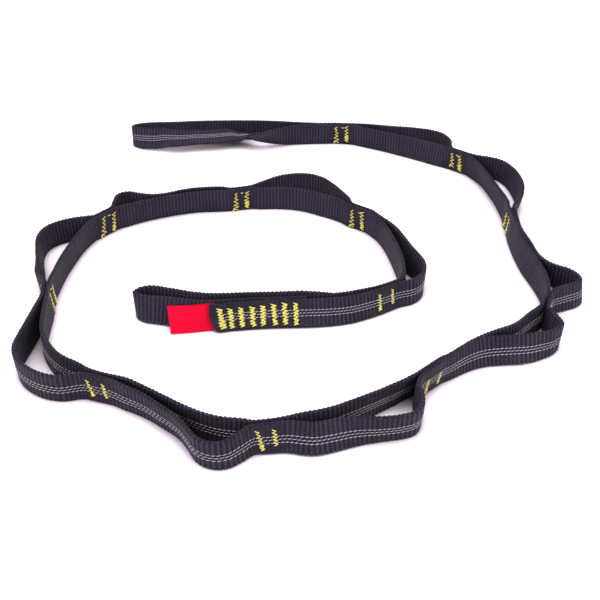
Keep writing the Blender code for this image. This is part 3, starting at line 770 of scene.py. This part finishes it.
# warp yarns lie side by side along the webbing and pass over every other half rib:
# height = |sin(pi v)| * (0.4 + 0.6 (1 + cos(2 pi (u + v's parity / 2))) / 2), with u in ribs and v in yarns
def makeWebbingMaterial():
    look = webbingLook
    material, tree, shader = newMaterial("ribbedWebbing", look)
    maths = mathsIn(tree)
    vector, run, around = weaveCoordinates(tree)
    ribs = maths("DIVIDE", run, webbing["ribPitch"])
    yarns = maths("DIVIDE", around, look["yarn"])
    parity = maths("MODULO", maths("FLOOR", yarns), 2.0)
    shifted = maths("MULTIPLY_ADD", parity, 0.5, ribs)
    over = maths("MULTIPLY_ADD", maths("COSINE", maths("MULTIPLY", shifted, 2 * math.pi)), 0.5, 0.5)
    overHeight = maths("MULTIPLY_ADD", over, look["overShare"], 1 - look["overShare"])
    yarnHeight = maths("MULTIPLY", arches(maths, yarns), overHeight)
    strength = tree.nodes.new("ShaderNodeAttribute")
    strength.attribute_name = "ribs"
    # painted highlight: a narrow light line on top of each rib, as strong as the rib, and brighter on some
    # ribs than on others
    ridge = maths("POWER", arches(maths, ribs), look["crestPower"])
    crestHighlight = maths("MULTIPLY", ridge, strength.outputs["Fac"])
    each = tree.nodes.new("ShaderNodeTexWhiteNoise")
    each.noise_dimensions = "1D"
    tree.links.new(maths("FLOOR", ribs), each.inputs["W"])
    bright = maths("MULTIPLY_ADD", each.outputs["Value"], look["crestSpread"], look["crestLeast"])
    crestHighlight = maths("MULTIPLY", crestHighlight, bright)
    # the mix from the dark dye to the highlight colour: the painted crest highlight, raised yarns painted
    # lighter, and random tone from three noises
    shade = maths("MULTIPLY", crestHighlight, look["crestShare"])
    shade = maths("MULTIPLY_ADD", yarnHeight, look["yarnShare"], shade)
    noises = {}
    for name, (scale, detail, share) in look["noises"].items():
        noises[name] = noise(tree, vector, scale, detail)
        shade = maths("MULTIPLY_ADD", maths("SUBTRACT", noises[name], 0.5), share, shade)
    colour = mixColour(tree, between(maths, shade), look["dyeAndGrooveShade"], look["crestHighlight"])
    # painted shade in nooks, held off the sewn flat places where the rib strength is low
    nookShadeLeast = maths("MULTIPLY_ADD", strength.outputs["Fac"], -look["sewnGain"], 1.0)
    tree.links.new(paintNookShade(tree, colour, paintedNookShade["webbing"], nookShadeLeast), shader.inputs["Base Color"])
    shader.inputs["Sheen Roughness"].default_value = look["sheenRoughness"]
    bump(tree, shader, maths("MULTIPLY_ADD", noises["fine"], look["fineBump"], yarnHeight), look["bump"])
    return material


tracerLook = {
    "dark": (0.44, 0.40, 0.46),
    "light": (0.82, 0.75, 0.84),
    "fine": (3000.0, 2.0),
    "roughness": 0.55,
    "sheen": 0.2,
    "bump": 0.04 * mm,
}


def makeTracerMaterial():
    look = tracerLook
    material, tree, shader = newMaterial("tracerYarn", look)
    fine = noise(tree, objectCoordinates(tree), *look["fine"])
    colour = mixColour(tree, fine, look["dark"], look["light"])
    # the tracers get the same painted shade in nooks as the webbing
    tree.links.new(paintNookShade(tree, colour, paintedNookShade["webbing"]), shader.inputs["Base Color"])
    bump(tree, shader, fine, look["bump"])
    return material


threadLook = {
    "dark": (1.0, 0.78, 0.03),
    "light": (1.0, 0.97, 0.26),
    "plyTurn": 0.7 * mm,  # length of thread in which its plies go round once
    "patches": (700.0, 2.0),
    "roughness": 0.45,
    "sheen": 0.4,
    "bump": 0.05 * mm,
}


# twisted thread: fine diagonal plies |sin(2 pi (round + along / plyTurn))|, half and half with patches
def makeThreadMaterial():
    look = threadLook
    material, tree, shader = newMaterial("tackThread", look)
    maths = mathsIn(tree)
    _, run, around = weaveCoordinates(tree)
    twist = maths("ADD", around, maths("DIVIDE", run, look["plyTurn"]))
    ply = arches(maths, maths("MULTIPLY", twist, 2.0))
    patch = noise(tree, objectCoordinates(tree), *look["patches"])
    factor = maths("MULTIPLY_ADD", ply, 0.5, maths("MULTIPLY", patch, 0.5))
    tree.links.new(mixColour(tree, factor, look["dark"], look["light"]), shader.inputs["Base Color"])
    bump(tree, shader, ply, look["bump"])
    return material


labelLook = {
    "colour": (0.98, 0.005, 0.046),
    "shade": (0.82, 0.003, 0.034),
    "pick": 0.30 * mm,
    "end": 0.21 * mm,
    "endShare": 0.4,  # of the weave's height
    "weaveShare": 0.7,  # of the colour
    "patchShare": 0.35,
    "patches": (220.0, 2.0),
    "roughness": 0.6,
    "specular": 0.04,
    "bump": 0.06 * mm,
}


# woven satin: weft picks across the label, height |sin(pi u)|, broken by a finer warp
def makeLabelMaterial():
    look = labelLook
    material, tree, shader = newMaterial("wovenLabel", look)
    maths = mathsIn(tree)
    vector, run, around = weaveCoordinates(tree)
    picks = arches(maths, maths("DIVIDE", around, look["pick"]))
    ends = arches(maths, maths("DIVIDE", run, look["end"]))
    woven = maths("MULTIPLY_ADD", ends, look["endShare"], maths("MULTIPLY", picks, 1 - look["endShare"]))
    patch = noise(tree, vector, *look["patches"])
    factor = maths("MULTIPLY_ADD", woven, look["weaveShare"], maths("MULTIPLY", patch, look["patchShare"]))
    tree.links.new(mixColour(tree, factor, look["shade"], look["colour"]), shader.inputs["Base Color"])
    bump(tree, shader, woven, look["bump"])
    return material


webbingMaterial = makeWebbingMaterial()
tracerMaterial = makeTracerMaterial()
threadMaterial = makeThreadMaterial()
labelMaterial = makeLabelMaterial()
print("materials made")


# every length of one run, cut at grooves, each standing for its CAD node; all but the necks ride on their
# body, and the necks are left unattached
def webbingPieces(strip):
    marks = strip["marks"]
    names = list(marks)
    cuts = [marks[name][0] for name in names] + [marks[names[-1]][1]]
    for index, name in enumerate(names):
        if name.startswith("eye_neck"):
            cuts[index] -= webbing["neckOverrun"]
        if name.startswith("end_loop_neck"):
            cuts[index + 1] += webbing["neckOverrun"]
    for index, name in enumerate(names):
        words = name.split("_")
        pieceName = words[0] + "".join(word.title() for word in words[1:]) + "Webbing"
        piece = webbingStrip(pieceName, strip, cuts[index], cuts[index + 1], name == "splice_front_layer")
        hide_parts(name)
        if "neck" in name:
            start, end = frameAt(strip, np.array([cuts[index], cuts[index + 1]]))[0]
            if name.startswith("eye"):
                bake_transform(piece)
            else:
                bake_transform(piece)
        elif name.startswith(("spine", "pocket")):
            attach(piece, "chain")
        elif name.startswith("end_loop"):
            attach(piece, "end_loop")
        else:
            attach(piece, "inner_eye")


webbingPieces(outer)
webbingPieces(inner)
print("webbing made")

tacks = {
    # the two tacks of each pair, in mm: along from the pair's middle, above mid-width, height, and how
    # far its foot is along from its top
    "pairs": [
        ((-6.2, -0.2, 9.8, -0.6), (2.6, 0.7, 8.8, -0.3)),
        ((-3.9, -0.3, 12.6, -1.0), (3.7, -1.0, 12.2, -0.8)),
        ((-3.7, -0.6, 12.0, 0.5), (3.8, -1.2, 13.0, 0.6)),
        ((-5.0, -1.0, 12.8, 2.2), (3.4, -1.0, 13.0, 2.4)),
        ((-4.6, -2.4, 11.2, 0.4), (4.4, -1.8, 12.6, -1.2)),
        ((-3.8, -0.3, 8.7, 3.2), (4.2, -0.3, 7.9, 1.6)),
        ((-4.2, -0.8, 10.2, 2.4), (2.8, 0.2, 8.2, 0.8)),
        ((-4.8, -2.6, 7.7, -1.2), (4.4, -2.2, 6.2, -2.4)),
        ((-4.4, -0.8, 10.8, 0.8), (-1.5, -0.8, 10.2, 0.8)),
        ((-3.6, -2.0, 9.8, -1.0), (4.2, -1.6, 9.4, -1.0)),
        ((-2.8, -0.5, 11.4, -1.6), (3.8, 0.1, 10.4, -1.7)),
        ((-4.2, 0.3, 12.3, -0.4), (3.7, -0.6, 12.8, -0.7)),
    ],
    "stitch": (1.60 * mm, 2.38 * mm),  # from one tooth to the next, on the outer and on the inner face
    "thread": 0.285 * mm,  # radius
    "sides": 6,
    # for the two tacks of a pair, on the outer and on the inner face: width in mm, how much narrower at
    # the top, share covered twice at the bottom, and how far the loose end lies off at the bottom in mm
    "outerFace": ((2.4, 0.30, 0.25, 0.0), (2.2, 0.20, 0.0, 0.0)),
    "innerFace": ((3.4, 0.10, 0.42, 0.0), (4.0, 0.55, 0.0, 1.2)),
    "uneven": 0.10,  # how far a hole may be out of place, as a share of the width or the stitch
    "arch": 0.34 * mm,  # how far a stitch stands up between its holes
    "holeDepth": 0.16 * mm,
    "bends": 6,  # points of a stitch
    "firstPass": 0.85,  # radius of the first pass, as a share of the thread's
    "secondPass": {"widthShare": 0.72, "teethShare": 1.3, "lift": 0.22 * mm},
    "seed": 11,
}


# a tube along a path on a face; its rings are square to the path
def threadTube(strip, face, run, height, lift, radius):
    path = onFace(strip, run, height, lift, face)
    way = np.gradient(path, axis=0)
    way /= np.linalg.norm(way, axis=1)[:, None]
    across = np.cross(way, frameAt(strip, run)[1])
    across /= np.maximum(np.linalg.norm(across, axis=1), 1e-9)[:, None]
    up = np.cross(across, way)
    turn = (np.arange(tacks["sides"]) / tacks["sides"] * 2 * np.pi)[None, :, None]
    rings = path[:, None] + radius * (across[:, None] * np.cos(turn) + up[:, None] * np.sin(turn))
    count, around = rings.shape[:2]
    quads, places = tubeFaces(count, around)
    gone = lengthsAlong(path)
    corners = np.stack([gone[places[..., 0]], places[..., 1] / around], -1).reshape(-1, 2)
    corners = np.concatenate([corners, np.zeros((around * 6, 2))])
    return withCapPoints(rings), [quads] + endCaps(count, around), corners


# stitches down a tack: the needle swings by w/2 (-1, +1, ...) while it goes down, and each stitch arches by
# sin(pi t) between its holes; the holes are a little out of place, and the top is narrower by the taper
def zigzag(centre, top, bottom, slant, width, teeth, dice, lift=0.0, taper=0.0):
    holes = 2 * teeth + 1
    uneven = tacks["uneven"]
    swing = width / 2 * (1 - taper * (1 - np.linspace(0, 1, holes)))
    side = np.where(np.arange(holes) % 2, 1.0, -1.0) * swing
    side = side + dice.uniform(-uneven, uneven, holes) * width
    level = np.linspace(top, bottom, holes) + dice.uniform(-uneven, uneven, holes) * (top - bottom) / teeth
    side = side + np.linspace(-slant / 2, slant / 2, holes)
    t = np.linspace(0, 1, tacks["bends"], endpoint=False)
    run = side[:-1, None] * (1 - t) + side[1:, None] * t
    height = level[:-1, None] * (1 - t) + level[1:, None] * t
    arch = np.sin(np.pi * t) * tacks["arch"] - tacks["holeDepth"] + lift
    return centre + run.ravel(), height.ravel(), np.tile(arch, holes - 1)


# several closed shells as one mesh
def addShells(name, shells):
    points, faces, corners, base = [], [], [], 0
    for shell, shellFaces, shellCorners in shells:
        points.append(shell)
        faces += [f + base for f in shellFaces]
        corners.append(shellCorners)
        base += len(shell)
    return meshObject(name, np.concatenate(points), faces, (threadMaterial,), np.concatenate(corners))


# one bar tack: a full zigzag, and a second pass over the dense share at its lower end; place is its level
# above mid-width, its height and its slant
def tackOn(strip, face, centre, place, dice, width, teeth, dense=0.0, taper=0.0):
    level, tall, slant = place
    top, bottom = level + tall / 2, level - tall / 2
    path = zigzag(centre, top, bottom, slant, width, teeth, dice, taper=taper)
    shells = [threadTube(strip, face, *path, tacks["thread"] * tacks["firstPass"])]
    if dense > 0:
        again = tacks["secondPass"]
        drift = slant * (0.5 - dense / 2)
        teeth = max(2, round(teeth * dense * again["teethShare"]))
        path = zigzag(centre + drift, bottom, bottom + tall * dense, -slant * dense,
                      width * again["widthShare"], teeth, dice, again["lift"])
        shells.append(threadTube(strip, face, *path, tacks["thread"]))
    return shells


looseThread = {
    "off": 0.9 * mm,  # where it starts, beside and above the lower end of the tack
    "drop": 1.3 * mm,
    "arch": 0.40 * mm,
    "depth": 0.15 * mm,
    "points": 16,
}


# the thread's cut end: a short arched loop beside the foot of a tack, out by sin(pi t) of its reach
def looseEnd(strip, face, centre, place, reach):
    level, tall, slant = place
    t = np.linspace(0, 1, looseThread["points"])
    run = centre + slant / 2 + looseThread["off"] + np.sin(np.pi * t) * reach
    height = level - tall / 2 + looseThread["off"] - looseThread["drop"] * t
    lift = np.sin(np.pi * t) * looseThread["arch"] - looseThread["depth"]
    return threadTube(strip, face, run, height, lift, tacks["thread"])


jump = {
    "below": 0.8 * mm,  # how far under the top of the second tack it runs
    "bow": 0.3 * mm,
    "depth": 0.30 * mm,
    "stand": 0.52 * mm,
    "dotShare": 0.62,  # where it shows, from one tack to the other
    "uneven": 0.08,
    "dotWidthShare": 0.07,
    "radiusShare": 0.9,
    "points": 25,
}


# the thread that jumps from one tack to the next sinks between the ribs and shows as one dot:
# lift = stand exp(-((t - dot) / dotWidth)^2) - depth
def jumpThread(strip, face, first, last, level, dice):
    t = np.linspace(0, 1, jump["points"])
    run = first + (last - first) * t
    dot = jump["dotShare"] + dice.uniform(-jump["uneven"], jump["uneven"])
    lift = jump["stand"] * np.exp(-((t - dot) / jump["dotWidthShare"]) ** 2) - jump["depth"]
    height = level + np.sin(t * np.pi) * jump["bow"]
    return threadTube(strip, face, run, height, lift, tacks["thread"] * jump["radiusShare"])


def pairThreads():
    dice = np.random.default_rng(tacks["seed"])
    faces = ((outer, 1.0, "outerFace"), (inner, -1.0, "innerFace"))
    for index, pair in enumerate(tacks["pairs"]):
        shells = []
        for (strip, face, kind), stitch in zip(faces, tacks["stitch"]):
            middle = strip["pairs"][index]
            for (ahead, *place), (width, taper, dense, tail) in zip(pair, tacks[kind]):
                place = [value * mm for value in place]
                centre = middle + ahead * mm
                teeth = round(place[1] / stitch)
                shells += tackOn(strip, face, centre, place, dice, width * mm, teeth, dense, taper)
                if tail > 0:
                    shells.append(looseEnd(strip, face, centre, place, tail * mm))
        ends = [inner["pairs"][index] + tack[0] * mm for tack in pair[::-1]]
        level = (pair[1][1] + pair[1][2] / 2) * mm - jump["below"]
        shells.append(jumpThread(inner, -1.0, *ends, level, dice))
        piece = addShells(f"tackThreadPair{index + 1:02d}", shells)
        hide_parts(f"bar_tack_pair_{index + 1:02d}")
        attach(piece, "chain")


splice = {
    # in mm: along from the front layer's cut end, above mid-width, height, and how far the foot is along
    "places": [
        (4.2, -0.5, 11.5, 1.3), (9.8, -0.9, 11.1, 0.8), (15.7, -0.9, 11.0, 0.6), (21.8, -1.0, 11.0, 0.7),
        (27.4, -0.8, 11.2, 0.4), (33.6, -0.6, 11.7, 0.9), (39.5, -0.3, 12.2, 0.6), (45.5, -0.5, 12.3, 0.4),
    ],
    "teeth": 7,
    "width": 3.0 * mm,
    "overTeeth": 4,
    "overWidth": 1.8 * mm,
    "overLift": 0.20 * mm,
    "reach": 70.0 * mm,  # the inner run lies behind the splice as far as this
}


# each splice tack is two zigzags on the front layer, the narrower over the wider, and one on the far face of
# the second layer
def spliceThreads():
    dice = np.random.default_rng(tacks["seed"] + 1)
    behindSplice = inner["point"][:int(splice["reach"] / coil["step"])]
    under = (splice["width"], splice["teeth"], 0.0)
    over = (splice["overWidth"], splice["overTeeth"], splice["overLift"])
    for index, tack in enumerate(splice["places"]):
        run, level, tall, slant = (value * mm for value in tack)
        top, bottom = level + tall / 2, level - tall / 2
        shells = []
        for width, teeth, lift in (under, over):
            path = zigzag(run, top, bottom, slant, width, teeth, dice, lift)
            shells.append(threadTube(outer, 1.0, *path, tacks["thread"]))
        start = frameAt(outer, np.array([run]))[0][0]
        nearest = np.argmin(np.linalg.norm(behindSplice - start[:2], axis=1))
        place = (level, tall, -slant)
        shells += tackOn(inner, 1.0, inner["run"][nearest], place, dice, splice["width"], splice["teeth"])
        piece = addShells(f"spliceThread{index + 1}", shells)
        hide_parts(f"splice_tack_{index + 1}")
        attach(piece, "inner_eye")


pairThreads()
spliceThreads()
print("stitching made")

label = {
    "length": 24.0 * mm,
    "tab": coil["tab"],
    "height": 15.5 * mm,
    "thickness": 0.45 * mm,
    # the lower and the upper edge, in mm: in the seam, at the seam's end, half-way and at the free end
    "foot": [(-43.2, -73.3, 0.5), (-47.7, -73.8, 0.4), (-59.4, -76.0, 0.3), (-70.7, -77.4, 0.3)],
    "top": [(-43.4, -69.0, 14.0), (-47.9, -68.7, 14.9), (-60.4, -69.0, 13.8), (-72.8, -68.4, 13.0)],
    "bow": 0.5 * mm,
    "bowEase": 6.0 * mm,  # over which the bow starts, from the seam on
    "columns": 72,
    "rows": 30,
    "edgeReach": 6,  # columns on each side in the edges' running mean
    "hingeColumn": 12,  # just past the seam
    "hingeLength": 6.0 * mm,
}


# a thin closed sheet between its two edges, each linear between its tabled places and rounded off by a
# running mean, with a bow of sin(pi share) from one edge to the other
def makeLabel():
    columns, rows = label["columns"], label["rows"]
    along = np.linspace(-label["tab"], label["length"], columns)
    up = np.linspace(0, 1, rows)
    placesAlong = [-label["tab"], 0.0, label["length"] / 2, label["length"]]

    def edgeLine(points):
        lines = [np.interp(along, placesAlong, values) for values in np.array(points).T * mm]
        return np.stack([runningMean(line, label["edgeReach"], True) for line in lines], 1)

    foot, top = edgeLine(label["foot"]), edgeLine(label["top"])
    sheetMiddle = foot[:, None] * (1 - up)[None, :, None] + top[:, None] * up[None, :, None]
    normal = np.cross(np.gradient(sheetMiddle, axis=0), np.gradient(sheetMiddle, axis=1))
    normal /= np.linalg.norm(normal, axis=2)[..., None]
    free = smoothstep(along / label["bowEase"])
    sheetMiddle = sheetMiddle - normal * (free[:, None] * np.sin(np.pi * up) * label["bow"])[..., None]
    thick = label["thickness"] / 2
    front, back = sheetMiddle - normal * thick, sheetMiddle + normal * thick
    points = np.concatenate([front.reshape(-1, 3), back.reshape(-1, 3)])
    column, row = np.meshgrid(np.arange(columns - 1), np.arange(rows - 1), indexing="ij")
    base = column * rows + row
    backFaces = np.stack([base, base + rows, base + rows + 1, base + 1], -1).reshape(-1, 4) + columns * rows
    frontFaces = backFaces[:, ::-1] - columns * rows
    rim = np.concatenate([
        np.arange(columns) * rows, (columns - 1) * rows + np.arange(1, rows),
        np.arange(columns - 2, -1, -1) * rows + rows - 1, np.arange(rows - 2, 0, -1),
    ])
    nextRim = np.roll(rim, -1)
    rimFaces = np.stack([rim, nextRim, nextRim + columns * rows, rim + columns * rows], -1)[:, ::-1]
    faces = np.concatenate([frontFaces, backFaces, rimFaces])
    place = np.stack(np.broadcast_arrays(along[:, None], (up * label["height"])[None]), -1).reshape(-1, 2)
    corners = np.concatenate([place, place])[faces.ravel()]
    piece = meshObject("wovenLabel", points, [faces], (labelMaterial,), corners)
    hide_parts("label", "label_tab")
    hinge = (foot[label["hingeColumn"]] + top[label["hingeColumn"]]) / 2
    free = hinge - [label["hingeLength"], 0, 0]
    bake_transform(piece)


makeLabel()
print("label made")

studio = {
    "floor": (0.62, 0.55, 0.615),
    "floorLook": {"roughness": 0.9, "specular": 0.0},
    "floorHalf": 6.0,
    # gives no diffuse light, and is seen only where the floor is open, so that it reads as white there; near
    # and between the strands it is dimmed, which paints their shadow on the floor
    "glow": 0.80,
    # a pink tint, which shows where the glow is dimmed as painted shadow
    "glowColour": (1.0, 0.88, 0.99, 1.0),
    "contact": 2.9 * mm,  # how near the webbing shades the floor beside it
    "gap": 16.0 * mm,  # how far down between two strands counts as covered
    "gapGain": 3.33,
    "gapLoss": 1.17,
    "world": 0.45,
    # name, place, size, power
    "lamps": [
        ("overhead", (-0.1, -0.12, 1.25), 1.2, 9.0),
        ("leftSide", (-1.2, -0.8, 0.8), 1.1, 9.2),
        ("rightSide", (1.2, -0.8, 0.8), 1.1, 9.2),
    ],
    "camera": (0.0, -0.4536, 0.2868),
    "down": 35.02,  # degrees
    "sensor": 36.0,
    "lensShare": 863 / 600,  # the photo's focal length in pixels, over its width
    "nearest": 0.01,
}


# a pale plane that glows by glow * openness near by * (gapGain * openness in gaps - gapLoss, from 0 to 1),
# so that its dimmed glow is a painted contact shadow and a painted shadow in the gaps between strands
def makeFloor():
    half = studio["floorHalf"]
    points = np.array([(-half, -half, 0), (half, -half, 0), (half, half, 0), (-half, half, 0)], float)
    material, tree, shader = newMaterial("paleFloor", studio["floorLook"])
    maths = mathsIn(tree)
    path = tree.nodes.new("ShaderNodeLightPath")
    seen = maths("MAXIMUM", path.outputs["Is Camera Ray"], path.outputs["Is Glossy Ray"])
    seen = maths("MAXIMUM", seen, path.outputs["Is Transmission Ray"])
    shader.inputs["Emission Color"].default_value = studio["glowColour"]
    # the glow follows how open the floor is near by and in gaps, so it paints the strands' shadows
    contact = openAround(tree, studio["contact"])
    gap = maths("MULTIPLY_ADD", openAround(tree, studio["gap"]), studio["gapGain"], -studio["gapLoss"])
    glow = maths("MULTIPLY", seen, maths("MULTIPLY", contact, studio["glow"]))
    glow = maths("MULTIPLY", glow, between(maths, gap))
    tree.links.new(glow, shader.inputs["Emission Strength"])
    # the floor's colour also gets the painted shade in nooks
    tree.links.new(paintNookShade(tree, studio["floor"], paintedNookShade["floor"]), shader.inputs["Base Color"])
    meshObject("floor", points, [np.array([[0, 1, 2, 3]])], (material,))


# a round area lamp turned to the middle of the coil
def softLamp(name, place, size, power):
    data = bpy.data.lights.new(name, "AREA")
    data.shape = "DISK"
    data.size = size
    data.energy = power
    lamp = bpy.data.objects.new(name, data)
    lamp.location = place
    x, y, z = place
    lamp.rotation_euler = (math.atan2(math.hypot(x, y), z), 0, math.atan2(-y, -x) - math.pi / 2)
    bpy.context.scene.collection.objects.link(lamp)


# the photo's view: 35 degrees down, half a metre from the coil
def makeCamera():
    data = bpy.data.cameras.new("camera")
    data.sensor_width = studio["sensor"]
    data.sensor_fit = "HORIZONTAL"
    data.lens = studio["lensShare"] * studio["sensor"]
    data.clip_start = studio["nearest"]
    camera = bpy.data.objects.new("camera", data)
    camera.location = studio["camera"]
    camera.rotation_euler = (math.radians(90 - studio["down"]), 0, 0)
    bpy.context.scene.collection.objects.link(camera)
    bpy.context.scene.camera = camera


# white to the camera, and a dimmer white as light
def makeWorld():
    world = bpy.data.worlds.new("studio")
    bpy.context.scene.world = world
    world.use_nodes = True
    tree = world.node_tree
    background = tree.nodes["Background"]
    background.inputs["Color"].default_value = (1, 1, 1, 1)
    path = tree.nodes.new("ShaderNodeLightPath")
    strength = mathsIn(tree)("MAXIMUM", path.outputs["Is Camera Ray"], studio["world"])
    tree.links.new(strength, background.inputs["Strength"])


makeFloor()
for lamp in studio["lamps"]:
    softLamp(*lamp)
makeWorld()
makeCamera()
bpy.context.scene.view_settings.view_transform = "Standard"
print("studio made")
